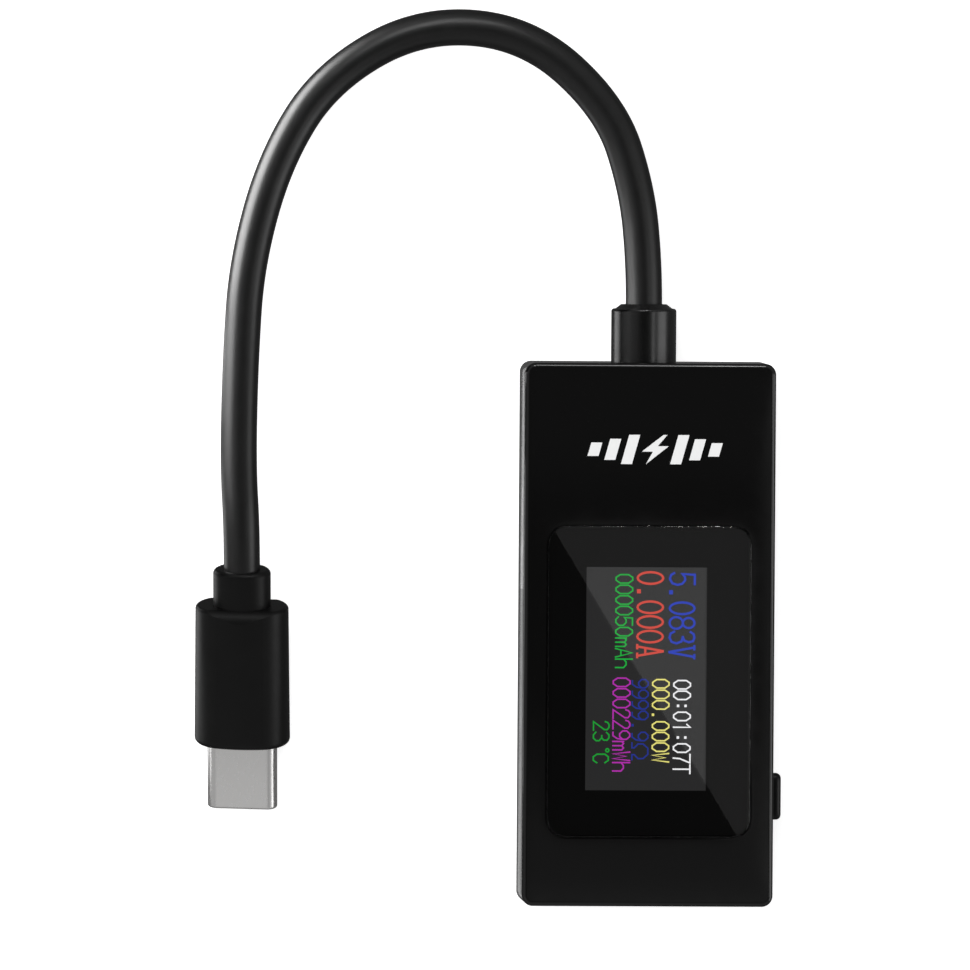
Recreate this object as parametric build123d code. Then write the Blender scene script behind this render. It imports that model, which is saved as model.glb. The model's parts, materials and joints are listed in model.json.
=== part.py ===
from build123d import *
import os
from math import pi, radians, tan

# USB power meter with a captive lead: a two-shell housing with a colour display behind a smoked
# window, one side button, a USB-C socket in its lower end and a short lead with a USB-C plug.
# Millimetres. The meter lies on its back: z = 0 is the back face, +Z is out of the screen,
# +Y is the lead's end and +X is the button's side. The origin is the centre of the back face.

# ---- housing ----
HOUSING_X = 29.6
HOUSING_Y = 64.0
HOUSING_Z = 13.2
SPLIT_Z = 6.6
WALL = 1.5
FLOOR_Z = 1.5
ROOF_Z = 11.6
CORNER_R = 1.3
EDGE_R = 0.55
SEAM_CHAMFER = 0.15
CAVITY_X = HOUSING_X - 2 * WALL
CAVITY_Y = HOUSING_Y - 2 * WALL
CAVITY_R = 0.8
LIP_T = 0.6
LIP_H = 0.9
FIT_GAP = 0.1
SNAP_RISE = 0.22
SNAP_LENGTH = 8.0
SNAP_YS = (-6.0, 16.0)
FLOOR_RIB_YS = (-9.0, 3.0)
ROOF_RIB_YS = (-26.5, -12.0, 13.0, 20.5)
ROOF_RIB_X = 11.6
RIB_T = 0.8
SADDLE_Y = 28.5
SADDLE_BORE = 5.2

# ---- window and display ----
WINDOW_CX = 0.05
WINDOW_CY = -5.5
WINDOW_X = 24.1
WINDOW_Y = 36.8
WINDOW_T = 0.8
WINDOW_R = 2.4
WINDOW_TOP_Z = 13.15
WINDOW_GAP = 0.15
TAPE_T = 0.1
RECESS_Z = WINDOW_TOP_Z - WINDOW_T - TAPE_T
OPENING_X = 15.6
OPENING_Y = 27.8
OPENING_CX = -0.25
OPENING_CY = -5.2
LCD_X = 17.4
LCD_TOP_Y = 28.8
LCD_BOTTOM_Y = 31.6
LCD_GLASS_T = 0.35
BACKLIGHT_T = 0.95
FLEX_W = 9.0
FLEX_T = 0.12

# ---- main board ----
BOARD_X = 25.6
BOARD_Y0 = -30.3
BOARD_Y1 = 24.5
BOARD_T = 1.2
BOARD_R = 1.0
POST_X = 11.3
POST_YS = (-27.6, 21.8)
POST_R = 1.4
PEG_R = 0.7
PEG_HOLE_R = 0.8

# ---- components on the board's underside ----
CHIP_X = -3.2
CHIP_Y = -2.0
CHIP_BODY = 7.0
CHIP_T = 1.4
CHIP_STAND = 0.1
CHIP_EDGE_R = 0.25
CHIP_CHAMFER = 0.15
MEMORY_X = 7.0
MEMORY_Y = 4.0
MEMORY_W = 3.9
MEMORY_L = 4.9
REGULATOR_X = 6.0
REGULATOR_Y = 14.5
REGULATOR_W = 4.5
REGULATOR_L = 2.5
SHUNT_X = -4.0
SHUNT_Y = 10.5
SHUNT_L = 6.4
SHUNT_W = 3.2
SHUNT_T = 0.6
CAPACITORS = [(-9.5, -2.0), (-9.5, 1.5), (1.8, -6.5), (4.5, -1.5), (1.5, 8.0), (9.8, 10.5)]
RESISTORS = [(-9.8, -6.0), (-9.8, -8.0), (-6.2, -8.5), (-3.6, -8.5), (3.8, 10.5), (9.8, -3.5), (9.8, -5.5)]
BULK_CAPACITORS = [(-8.5, 16.5), (-4.0, 16.5), (0.5, 16.5)]
CHIP_PART_L = 1.6
CHIP_PART_W = 0.8
CAPACITOR_T = 0.8
RESISTOR_T = 0.45
CAPACITOR_END = 0.3
RESISTOR_END = 0.25
BULK_L = 3.2
BULK_W = 2.5
BULK_T = 1.6
BULK_END = 0.5

# ---- USB-C socket: outer shell 8.94 x 3.16, mouth 8.34 x 2.56 ----
SOCKET_X = 8.94
SOCKET_Z = 3.16
SOCKET_L = 7.35
SOCKET_WALL = 0.3
SOCKET_MOUTH_Y = -31.9
TONGUE_X = 6.69
TONGUE_T = 0.7
PORT_GAP = 0.13
CONTACT_PITCH = 0.5
CONTACTS_PER_ROW = 12

# ---- side button and its switch ----
BUTTON_Y = -19.2
BUTTON_L = 5.5
BUTTON_H = 2.6
BUTTON_CORNER_R = 0.8
BUTTON_EDGE_R = 0.55
BUTTON_PROUD = 1.25
BUTTON_GAP = 0.15
FLANGE_T = 0.9
FLANGE_RIM = 1.0
NOTCH_GAP = 0.5
SWITCH_BACK_X = 6.9
SWITCH_FACE_X = 9.5
PLUNGER_TIP_X = 11.35
PLUNGER_R = 0.8
DISC_R = 1.4
DISC_RISE = 0.3
RUN_GAP = 0.05

# ---- lead: the centre line's points, from the strain relief's end to the plug ----
CORD_D = 4.3
CORD_ROUTE = [
    (-0.5, 38.85, 6.6),
    (-0.5, 43.4, 6.6),
    (-1.4, 52.4, 6.6),
    (-4.6, 62.0, 6.8),
    (-14.4, 70.8, 7.0),
    (-27.2, 71.8, 7.4),
    (-38.3, 65.3, 7.9),
    (-44.2, 55.7, 8.4),
    (-47.5, 43.6, 9.0),
    (-48.2, 32.4, 9.6),
    (-48.45, 19.9, 10.45),
    (-47.97, 12.19, 10.74),
    (-47.88, 7.47, 9.43),
]
RELIEF_D = 7.7
RELIEF_CONE_D = 5.4
RELIEF_CONE_L = 0.5
RELIEF_NECK_D = 6.0
RELIEF_FLANGE_D = 8.4

# ---- wires inside: start across the relief, pad across the board, diameter ----
WIRES = {
    "power_wire": (-2.3, -6.0, 1.1),
    "data_plus_wire": (-0.9, -3.0, 0.8),
    "data_minus_wire": (0.1, -0.4, 0.8),
    "cc_wire": (1.1, 2.2, 0.8),
    "ground_wire": (2.5, 5.2, 1.1),
}
WIRE_END_Y = 22.4
WIRE_START_Y = HOUSING_Y / 2 - WALL - 1.1

# ---- plug, measured along its own axis from the end of its neck ----
PLUG_ROLL = 8.0
NECK_L = 4.45
NECK_W = 6.8
NECK_T = 5.2
NECK_CROWN_R = 8.0
BODY_L = 17.0
BODY_W = 11.0
BODY_T = 7.2
BODY_TAPER = 0.5
SHOULDER_L = 1.5
SHOULDER_DROP = 1.2
SHOULDER_EDGE_R = 0.45
BODY_CROWN_R = 14.0
SHELL_W = 8.25
SHELL_T = 2.4
SHELL_WALL = 0.2
SHELL_OUT = 8.0
SHELL_IN = 5.2
SHELL_LIP = 0.4
INNER_MOULD_W = 9.0
INNER_MOULD_T = 5.0
PADDLE_W = 7.4
PADDLE_T = 0.8

board_under = SPLIT_Z + SOCKET_Z / 2
board_top = board_under + BOARD_T
lcd_z = board_top + TAPE_T + BACKLIGHT_T
lcd_mid = lcd_z + LCD_GLASS_T
lcd_top = lcd_mid + LCD_GLASS_T
wall_in = HOUSING_X / 2 - WALL
wall_out = HOUSING_X / 2
end_out = HOUSING_Y / 2
relief_x = CORD_ROUTE[0][0]
body_front = NECK_L + BODY_L
shell_back = body_front - SHELL_IN
shell_tip = body_front + SHELL_OUT
mould_z0 = NECK_L + 1.6
mould_z1 = body_front - 1.0
paddle_z0 = mould_z0 + 1.2
insulator_z0 = shell_back + 0.6
shell_inner_w = SHELL_W - 2 * SHELL_WALL
shell_inner_t = SHELL_T - 2 * SHELL_WALL


# ---- shape helpers ----
def slab(x0, x1, y0, y1, z0, z1):
    """Box between two corners."""
    centre = Pos((x0 + x1) / 2, (y0 + y1) / 2, (z0 + z1) / 2)
    return centre * Box(x1 - x0, y1 - y0, z1 - z0)


def block(width, length, z0, z1, radius, x=0.0, y=0.0):
    """Upright block with rounded corners in plan."""
    return extrude(Pos(x, y, z0) * RectangleRounded(width, length, radius), z1 - z0)


def obround(width, height, y0, y1, x=0.0, z=SPLIT_Z):
    """Bar along Y with a stadium section."""
    face = Plane.XZ.offset(-y0) * Pos(x, z) * SlotOverall(width, height)
    return extrude(face, -(y1 - y0))


def rod_y(diameter, y0, y1, x=relief_x, z=SPLIT_Z):
    """Round bar along Y."""
    face = Plane.XZ.offset(-y0) * Pos(x, z) * Circle(diameter / 2)
    return extrude(face, -(y1 - y0))


def bar_x(length, height, radius, x0, x1, y=BUTTON_Y, z=SPLIT_Z):
    """Bar along X with a rounded rectangular section."""
    face = Plane.YZ.offset(x0) * Pos(y, z) * RectangleRounded(length, height, radius)
    return extrude(face, x1 - x0)


def rod_x(radius, x0, x1, y=BUTTON_Y, z=SPLIT_Z):
    """Round bar along X."""
    return extrude(Plane.YZ.offset(x0) * Pos(y, z) * Circle(radius), x1 - x0)


def oval(width, thickness, crown):
    """Oval of four tangent arcs: two broad crowned faces and two tight sides."""
    a = width / 2
    h = thickness / 2
    side = (crown**2 - (crown - h) ** 2 - a**2) / (2 * (crown - a))
    reach = crown - side
    tx = crown * (a - side) / reach
    ty = h - crown + crown * (crown - h) / reach
    arcs = [
        ThreePointArc((-tx, ty), (0, h), (tx, ty)),
        ThreePointArc((tx, ty), (a, 0), (tx, -ty)),
        ThreePointArc((tx, -ty), (0, -h), (-tx, -ty)),
        ThreePointArc((-tx, -ty), (-a, 0), (-tx, ty)),
    ]
    return make_face(Curve() + arcs)


def wire_tube(points, radii, diameter):
    """Round tube along straight runs joined by tangent arcs."""
    path = FilletPolyline(*points, radius=radii)
    section = Plane(origin=path @ 0, z_dir=path % 0) * Circle(diameter / 2)
    return sweep(section, path), path


def rows(count, pitch):
    """Positions of count items centred on zero."""
    return [(i - (count - 1) / 2) * pitch for i in range(count)]


# ---- housing shells ----
def shell_openings():
    """Cuts that both shells and the lip share: socket, lead and button."""
    port = obround(SOCKET_X + 2 * PORT_GAP, SOCKET_Z + 2 * PORT_GAP, -end_out - 1, -end_out + 3.5)
    lead = rod_y(RELIEF_NECK_D + FIT_GAP, end_out - 3, end_out + 1)
    slot_y, slot_z = BUTTON_L + 2 * BUTTON_GAP, BUTTON_H + 2 * BUTTON_GAP
    button = bar_x(slot_y, slot_z, BUTTON_CORNER_R + BUTTON_GAP, wall_in - 1.5, wall_out + 1)
    return port + lead + button


def lip_gaps():
    """Wider gaps in the lip, so that it clears the flanges behind the openings."""
    flange = slab(wall_in - 1, wall_out, BUTTON_Y - 4.2, BUTTON_Y + 4.2, SPLIT_Z, SPLIT_Z + 3)
    relief = slab(relief_x - 4.6, relief_x + 4.6, end_out - 3, end_out, SPLIT_Z, SPLIT_Z + 3)
    socket = slab(-5.2, 5.2, -end_out, -end_out + 3, SPLIT_Z, SPLIT_Z + 3)
    return flange + relief + socket


def snap_bar(side, y, grow):
    """Triangular snap rib along a long side; grow enlarges it for the matching groove."""
    base = CAVITY_X / 2 + LIP_T
    mid = SPLIT_Z + LIP_H / 2
    half = SNAP_RISE + grow
    root = base - SNAP_RISE / 2
    face = Polygon((root, mid - half), (base + half, mid), (root, mid + half), align=None)
    start = y - SNAP_LENGTH / 2 - grow
    bar = extrude(Plane.XZ.offset(-start) * face, -(SNAP_LENGTH + 2 * grow))
    return bar if side > 0 else mirror(bar, Plane.YZ)


SNAPS = [(side, y) for side in (-1, 1) for y in SNAP_YS]


def make_back_shell():
    body = block(HOUSING_X, HOUSING_Y, 0, SPLIT_Z, CORNER_R)
    body = fillet(body.edges().group_by(Axis.Z)[0], EDGE_R)
    body = chamfer(body.edges().group_by(Axis.Z)[-1], SEAM_CHAMFER)
    body -= block(CAVITY_X, CAVITY_Y, FLOOR_Z, SPLIT_Z + 1, CAVITY_R)
    lip = block(CAVITY_X + 2 * LIP_T, CAVITY_Y + 2 * LIP_T, SPLIT_Z, SPLIT_Z + LIP_H, CAVITY_R)
    lip -= block(CAVITY_X, CAVITY_Y, SPLIT_Z - 1, SPLIT_Z + 2, CAVITY_R)
    for side, y in SNAPS:
        lip += snap_bar(side, y, 0.0)
    body += lip - lip_gaps()
    for y in POST_YS:
        for x in (-POST_X, POST_X):
            post = Pos(x, y, 0) * Cylinder(
                POST_R, board_under - FLOOR_Z, align=(Align.CENTER, Align.CENTER, Align.MIN)
            )
            peg = Pos(x, y, 0) * Cylinder(
                PEG_R, board_top - FLOOR_Z - 0.15, align=(Align.CENTER, Align.CENTER, Align.MIN)
            )
            body += Pos(0, 0, FLOOR_Z) * (post + chamfer(peg.edges().group_by(Axis.Z)[-1], 0.25))
    half = RIB_T / 2
    for y in FLOOR_RIB_YS:
        body += slab(-wall_in, wall_in, y - half, y + half, FLOOR_Z - 0.1, FLOOR_Z + 0.8)
    saddle = slab(relief_x - 4.6, relief_x + 4.6, SADDLE_Y - half, SADDLE_Y + half, FLOOR_Z - 0.1, 4.6)
    body += saddle - rod_y(SADDLE_BORE, SADDLE_Y - 1, SADDLE_Y + 1)
    return body - shell_openings()


def make_front_shell():
    body = block(HOUSING_X, HOUSING_Y, SPLIT_Z, HOUSING_Z, CORNER_R)
    body = fillet(body.edges().group_by(Axis.Z)[-1], EDGE_R)
    body = chamfer(body.edges().group_by(Axis.Z)[0], SEAM_CHAMFER)
    body -= block(CAVITY_X, CAVITY_Y, SPLIT_Z - 1, ROOF_Z, CAVITY_R)
    rebate_x = CAVITY_X + 2 * (LIP_T + FIT_GAP)
    rebate_y = CAVITY_Y + 2 * (LIP_T + FIT_GAP)
    body -= block(rebate_x, rebate_y, SPLIT_Z - 1, SPLIT_Z + LIP_H + FIT_GAP, CAVITY_R + 0.1)
    for side, y in SNAPS:
        body -= snap_bar(side, y, 0.08)
    pocket_x = WINDOW_X + 2 * WINDOW_GAP
    pocket_y = WINDOW_Y + 2 * WINDOW_GAP
    pocket_r = WINDOW_R + WINDOW_GAP
    body -= block(pocket_x, pocket_y, RECESS_Z, HOUSING_Z + 1, pocket_r, WINDOW_CX, WINDOW_CY)
    body -= block(OPENING_X, OPENING_Y, ROOF_Z - 1, RECESS_Z + 1, 0.8, OPENING_CX, OPENING_CY)
    half = RIB_T / 2
    for y in ROOF_RIB_YS:
        rib = slab(ROOF_RIB_X, wall_in + 0.1, y - half, y + half, board_top, ROOF_Z + 0.1)
        body += rib + mirror(rib, Plane.YZ)
    clamp = slab(relief_x - 4.0, relief_x + 4.0, SADDLE_Y - half, SADDLE_Y + half, 8.6, ROOF_Z + 0.1)
    body += clamp - rod_y(SADDLE_BORE, SADDLE_Y - 1, SADDLE_Y + 1)
    return body - shell_openings()


# ---- window and display stack ----
def make_display_window():
    z0 = WINDOW_TOP_Z - WINDOW_T
    pane = block(WINDOW_X, WINDOW_Y, z0, WINDOW_TOP_Z, WINDOW_R, WINDOW_CX, WINDOW_CY)
    return fillet(pane.edges().group_by(Axis.Z)[-1], 0.2)


def make_window_adhesive():
    outer = block(WINDOW_X - 0.7, WINDOW_Y - 0.7, RECESS_Z, RECESS_Z + TAPE_T, 2.0, WINDOW_CX, WINDOW_CY)
    return outer - block(OPENING_X, OPENING_Y, RECESS_Z - 1, RECESS_Z + 1, 0.8, OPENING_CX, OPENING_CY)


def make_display_gasket():
    outer = block(LCD_X, LCD_TOP_Y, lcd_top, ROOF_Z, 0.5, OPENING_CX, OPENING_CY)
    inner_x, inner_y = OPENING_X + 0.2, LCD_TOP_Y - 1.4
    return outer - block(inner_x, inner_y, lcd_top - 1, ROOF_Z + 1, 0.25, OPENING_CX, OPENING_CY)


def make_lcd_top_glass():
    return block(LCD_X, LCD_TOP_Y, lcd_mid, lcd_top, 0.2, OPENING_CX, OPENING_CY)


def make_lcd_bottom_glass():
    ledge = LCD_BOTTOM_Y - LCD_TOP_Y
    return block(LCD_X, LCD_BOTTOM_Y, lcd_z, lcd_mid, 0.2, OPENING_CX, OPENING_CY + ledge / 2)


def make_lcd_driver_chip():
    y0 = OPENING_CY + LCD_TOP_Y / 2 + 0.4
    return slab(OPENING_CX - 6.0, OPENING_CX + 6.0, y0, y0 + 0.9, lcd_mid, lcd_mid + 0.3)


def make_lcd_backlight():
    ledge = LCD_BOTTOM_Y - LCD_TOP_Y
    z0 = board_top + TAPE_T
    return block(LCD_X, LCD_BOTTOM_Y, z0, lcd_z, 0.4, OPENING_CX, OPENING_CY + ledge / 2)


def make_lcd_tape():
    strips = [(-7.0, -4.0), (4.0, 7.0)]
    tape = Part()
    for x0, x1 in strips:
        strip = slab(OPENING_CX + x0, OPENING_CX + x1, -17.5, 9.5, board_top, board_top + TAPE_T)
        tape += strip
    return tape


def make_lcd_flex():
    """Ribbon from the glass ledge, over its end and down to the board."""
    y_end = OPENING_CY - LCD_TOP_Y / 2 + LCD_BOTTOM_Y
    z_top = lcd_mid + FLEX_T / 2
    z_low = board_top + FLEX_T / 2
    line = FilletPolyline(
        (0, y_end - 0.9, z_top),
        (0, y_end + 1.5, z_top),
        (0, y_end + 1.5, z_low),
        (0, y_end + 4.5, z_low),
        radius=0.6,
    )
    section = Plane(origin=line @ 0, x_dir=(1, 0, 0), z_dir=line % 0) * Rectangle(FLEX_W, FLEX_T)
    flex = sweep(section, line)
    return Pos(OPENING_CX, 0, 0) * flex


# ---- board and its components (all on the underside) ----
def socket_leg_places():
    return [(side, y) for side in (-1, 1) for y in (-29.6, -26.0)]


def make_main_board():
    mid_y = (BOARD_Y0 + BOARD_Y1) / 2
    board = block(BOARD_X, BOARD_Y1 - BOARD_Y0, board_under, board_top, BOARD_R, 0, mid_y)
    for y in POST_YS:
        for x in (-POST_X, POST_X):
            board -= Pos(x, y, board_under) * Cylinder(PEG_HOLE_R, 6)
    for side, y in socket_leg_places():
        x = side * (SOCKET_X / 2 - SOCKET_WALL / 2)
        board -= slab(x - 0.3, x + 0.3, y - 0.65, y + 0.65, board_under - 1, board_top + 1)
    notch_x = wall_in - RUN_GAP - FLANGE_T - NOTCH_GAP
    notch_y = BUTTON_L / 2 + FLANGE_RIM + NOTCH_GAP
    y0, y1 = BUTTON_Y - notch_y, BUTTON_Y + notch_y
    return board - slab(notch_x, wall_in, y0, y1, board_under - 1, board_top + 1)


def hang(x, y, width, length, height):
    """Component body standing on the board's underside."""
    x0, y0 = x - width / 2, y - length / 2
    return slab(x0, x0 + width, y0, y0 + length, board_under - height, board_under)


def make_controller_chip():
    z1 = board_under - CHIP_STAND
    body = block(CHIP_BODY, CHIP_BODY, z1 - CHIP_T, z1, CHIP_EDGE_R, CHIP_X, CHIP_Y)
    dot = Pos(CHIP_X - 2.6, CHIP_Y + 2.6, z1 - CHIP_T) * Cylinder(0.35, 0.1)
    return chamfer(body.edges().group_by(Axis.Z)[0], CHIP_CHAMFER) - dot


def gull_lead(reach):
    """One lead, from the body's side out and down to the board, in the XZ plane."""
    z = board_under
    profile = Polygon(
        (0.0, z - 0.75),
        (0.35, z - 0.75),
        (0.55, z - 0.12),
        (reach, z - 0.12),
        (reach, z),
        (0.42, z),
        (0.24, z - 0.62),
        (0.0, z - 0.62),
        align=None,
    )
    return extrude(Plane.XZ * profile, 0.15, both=True)


def make_controller_leads():
    leads = Part()
    for turn in range(4):
        for step in rows(8, 0.8):
            lead = Pos(CHIP_BODY / 2, step, 0) * gull_lead(1.0)
            leads += Pos(CHIP_X, CHIP_Y, 0) * (Rot(0, 0, 90 * turn) * lead)
    return leads


def make_memory_chip():
    z1 = board_under - CHIP_STAND
    body = block(MEMORY_W, MEMORY_L, z1 - CHIP_T, z1, CHIP_EDGE_R, MEMORY_X, MEMORY_Y)
    return chamfer(body.edges().group_by(Axis.Z)[0], CHIP_CHAMFER)


def make_memory_leads():
    leads = Part()
    for turn in (0, 180):
        for step in rows(4, 1.27):
            lead = Pos(MEMORY_W / 2, step, 0) * gull_lead(1.05)
            leads += Pos(MEMORY_X, MEMORY_Y, 0) * (Rot(0, 0, turn) * lead)
    return leads


def make_voltage_regulator():
    z1 = board_under - CHIP_STAND
    body = block(REGULATOR_W, REGULATOR_L, z1 - CHIP_T, z1, CHIP_EDGE_R, REGULATOR_X, REGULATOR_Y)
    return chamfer(body.edges().group_by(Axis.Z)[0], CHIP_CHAMFER)


def make_regulator_leads():
    leads = Part()
    for step in rows(3, 1.5):
        x = REGULATOR_X + step
        y0 = REGULATOR_Y - REGULATOR_L / 2
        leads += slab(x - 0.22, x + 0.22, y0 - 0.9, y0, board_under - 0.35, board_under)
    x0, y0 = REGULATOR_X - 0.8, REGULATOR_Y + REGULATOR_L / 2
    return leads + slab(x0, x0 + 1.6, y0, y0 + 0.9, board_under - 0.35, board_under)


def make_shunt_resistor():
    return hang(SHUNT_X, SHUNT_Y, SHUNT_L - 2 * SHUNT_T, SHUNT_W, SHUNT_T)


def make_ceramic_capacitors():
    bodies = Part()
    for x, y in CAPACITORS:
        bodies += hang(x, y, CHIP_PART_L - 2 * CAPACITOR_END, CHIP_PART_W, CAPACITOR_T)
    return bodies


def make_chip_resistors():
    bodies = Part()
    for x, y in RESISTORS:
        bodies += hang(x, y, CHIP_PART_L - 2 * RESISTOR_END, CHIP_PART_W, RESISTOR_T)
    return bodies


def make_bulk_capacitors():
    bodies = Part()
    for x, y in BULK_CAPACITORS:
        bodies += hang(x, y, BULK_L - 2 * BULK_END, BULK_W, BULK_T)
    return bodies


def end_caps(x, y, length, width, height, cap):
    """The two plated ends of a chip component."""
    ends = Part()
    for side in (-1, 1):
        ends += hang(x + side * (length - cap) / 2, y, cap, width, height)
    return ends


def make_chip_terminals():
    ends = Part()
    for x, y in CAPACITORS:
        ends += end_caps(x, y, CHIP_PART_L, CHIP_PART_W, CAPACITOR_T, CAPACITOR_END)
    for x, y in RESISTORS:
        ends += end_caps(x, y, CHIP_PART_L, CHIP_PART_W, RESISTOR_T, RESISTOR_END)
    for x, y in BULK_CAPACITORS:
        ends += end_caps(x, y, BULK_L, BULK_W, BULK_T, BULK_END)
    return ends + end_caps(SHUNT_X, SHUNT_Y, SHUNT_L, SHUNT_W, SHUNT_T, SHUNT_T)


# ---- socket ----
def make_output_socket_shell():
    y1 = SOCKET_MOUTH_Y + SOCKET_L
    shell = obround(SOCKET_X, SOCKET_Z, SOCKET_MOUTH_Y, y1)
    shell -= obround(
        SOCKET_X - 2 * SOCKET_WALL, SOCKET_Z - 2 * SOCKET_WALL, SOCKET_MOUTH_Y - 1, y1 - SOCKET_WALL
    )
    for side, y in socket_leg_places():
        x0 = side * (SOCKET_X / 2 - SOCKET_WALL)
        x1 = side * SOCKET_X / 2
        shell += slab(min(x0, x1), max(x0, x1), y - 0.45, y + 0.45, SPLIT_Z, board_top + 0.1)
    return shell


def make_output_socket_insulator():
    y1 = SOCKET_MOUTH_Y + SOCKET_L - SOCKET_WALL
    width = SOCKET_X - 2 * SOCKET_WALL
    height = SOCKET_Z - 2 * SOCKET_WALL
    root = obround(width, height, y1 - 1.3, y1)
    half = TONGUE_T / 2
    y0 = SOCKET_MOUTH_Y + 0.7
    tongue = slab(-TONGUE_X / 2, TONGUE_X / 2, y0, y1 - 1.3, SPLIT_Z - half, SPLIT_Z + half)
    tongue = chamfer(tongue.edges().group_by(Axis.Y)[0].filter_by(Axis.X), 0.2)
    return root + tongue


def make_output_socket_contacts():
    contacts = Part()
    y0 = SOCKET_MOUTH_Y + 1.2
    half = TONGUE_T / 2
    for x in rows(CONTACTS_PER_ROW, CONTACT_PITCH):
        for z0 in (SPLIT_Z + half, SPLIT_Z - half - 0.06):
            contacts += slab(x - 0.13, x + 0.13, y0, y0 + 3.8, z0, z0 + 0.06)
        tail_y = SOCKET_MOUTH_Y + SOCKET_L
        contacts += slab(x - 0.13, x + 0.13, tail_y, tail_y + 0.9, board_under - 0.15, board_under)
    return contacts


# ---- side button and switch ----
def make_side_button():
    cap = bar_x(BUTTON_L, BUTTON_H, BUTTON_CORNER_R, wall_in - 0.9, wall_out + BUTTON_PROUD)
    cap = fillet(cap.edges().group_by(Axis.X)[-1], BUTTON_EDGE_R)
    flange_x1 = wall_in - RUN_GAP
    flange = bar_x(
        BUTTON_L + 2 * FLANGE_RIM, BUTTON_H + 1.4 * FLANGE_RIM, 0.5, flange_x1 - FLANGE_T, flange_x1
    )
    nub = rod_x(0.9, PLUNGER_TIP_X + RUN_GAP, flange_x1 - 0.5)
    return cap + flange + nub


def make_switch_base():
    base = slab(SWITCH_BACK_X, SWITCH_FACE_X, BUTTON_Y - 3.1, BUTTON_Y + 3.1, 4.9, board_under)
    return base - rod_x(DISC_R + RUN_GAP, SWITCH_FACE_X - 0.9, SWITCH_FACE_X + 1)


def make_switch_cover():
    """Bent metal plate: a face with a hole and two side wings."""
    x1 = SWITCH_FACE_X + 0.2
    face = slab(SWITCH_FACE_X, x1, BUTTON_Y - 3.3, BUTTON_Y + 3.3, 4.9, board_under - 0.2)
    for side in (-1, 1):
        y0 = BUTTON_Y + side * 3.1
        y1 = BUTTON_Y + side * 3.3
        face += slab(SWITCH_FACE_X - 1.6, x1, min(y0, y1), max(y0, y1), 5.2, board_under - 0.5)
    return face - rod_x(PLUNGER_R + 0.15, SWITCH_FACE_X - 1, SWITCH_FACE_X + 1)


def make_switch_plunger():
    flange = rod_x(DISC_R - 0.1, SWITCH_FACE_X - 0.4, SWITCH_FACE_X - RUN_GAP)
    stem = rod_x(PLUNGER_R, SWITCH_FACE_X - 0.4, PLUNGER_TIP_X)
    return flange + chamfer(stem.edges().group_by(Axis.X)[-1], 0.15)


def make_switch_dome():
    """Domed snap disc with a vent hole in its crown, which faces the plunger."""
    t = 0.08
    vent = 0.15
    crown = SWITCH_FACE_X - 0.45
    rim = crown - DISC_RISE
    mid_r = (vent + DISC_R) / 2
    mid_x = crown - DISC_RISE * 0.28
    outer = ThreePointArc((crown, vent), (mid_x, mid_r), (rim, DISC_R))
    inner = ThreePointArc((rim - t, DISC_R), (mid_x - t, mid_r), (crown - t, vent))
    edge = Line(outer @ 1, inner @ 0)
    hole = Line(inner @ 1, outer @ 0)
    return Pos(0, BUTTON_Y, SPLIT_Z) * revolve(make_face(outer + edge + inner + hole), Axis.X)


def make_switch_terminals():
    legs = Part()
    for side in (-1, 1):
        for x in (7.4, 8.9):
            y0 = BUTTON_Y + side * 3.1
            y1 = BUTTON_Y + side * 4.1
            legs += slab(x - 0.35, x + 0.35, min(y0, y1), max(y0, y1), board_under - 0.2, board_under)
    return legs


# ---- lead ----
def cord_radii():
    """Each corner's arc: 0.45 of its shorter run over the tangent of half its turn."""
    points = [Vector(*p) for p in CORD_ROUTE]
    radii = []
    for before, here, after in zip(points, points[1:], points[2:]):
        run_in = here - before
        run_out = after - here
        turn = run_in.get_angle(run_out)
        shorter = min(run_in.length, run_out.length)
        radii.append(0.45 * shorter / tan(radians(turn) / 2))
    return radii


def make_strain_relief():
    inside = end_out - WALL
    end_y = CORD_ROUTE[0][1]
    collar = rod_y(RELIEF_D, end_out + 0.02, end_y - RELIEF_CONE_L)
    collar = fillet(collar.edges().group_by(Axis.Y)[-1], 0.35)
    rim = Plane.XZ.offset(-(end_y - RELIEF_CONE_L - 0.1)) * Pos(relief_x, SPLIT_Z)
    tip = Plane.XZ.offset(-end_y) * Pos(relief_x, SPLIT_Z)
    collar += loft([rim * Circle(RELIEF_D / 2 - 0.35), tip * Circle(RELIEF_CONE_D / 2)])
    neck = rod_y(RELIEF_NECK_D, inside - 0.1, end_out + 0.5)
    flange = rod_y(RELIEF_FLANGE_D, inside - 1.1, inside - 0.05)
    return collar + neck + flange


def make_inner_wire(start_x, pad_x, diameter):
    """Insulated wire from the strain relief's inner face to its pad on the board."""
    z_pad = board_under - diameter / 2 - 0.02
    points = [
        (relief_x + start_x, WIRE_START_Y, SPLIT_Z - 0.2),
        (relief_x + start_x, WIRE_START_Y - 1.6, SPLIT_Z - 0.2),
        (pad_x + relief_x, WIRE_END_Y + 2.4, z_pad),
        (pad_x + relief_x, WIRE_END_Y, z_pad),
    ]
    return wire_tube(points, [1.2, 1.2], diameter)[0]


def make_solder_joints():
    joints = Part()
    for start_x, pad_x, diameter in WIRES.values():
        x = pad_x + relief_x
        y = WIRE_END_Y - 0.85
        base = Pos(x, y, board_under) * Rectangle(diameter + 0.7, 1.7)
        top = Pos(x, y, board_under - diameter) * Rectangle(diameter * 0.6, 0.9)
        joints += loft([top, base])
    return joints


# ---- plug, built along +Z of its own frame and then laid at the lead's end ----
def plug_place():
    tip = Vector(*CORD_ROUTE[-1])
    ahead = tip - Vector(*CORD_ROUTE[-2])
    axis = ahead.normalized()
    across = Vector(0, 0, 1).cross(axis)
    return Plane(origin=tip, x_dir=across, z_dir=axis).location * Rot(0, 0, PLUG_ROLL)


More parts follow.
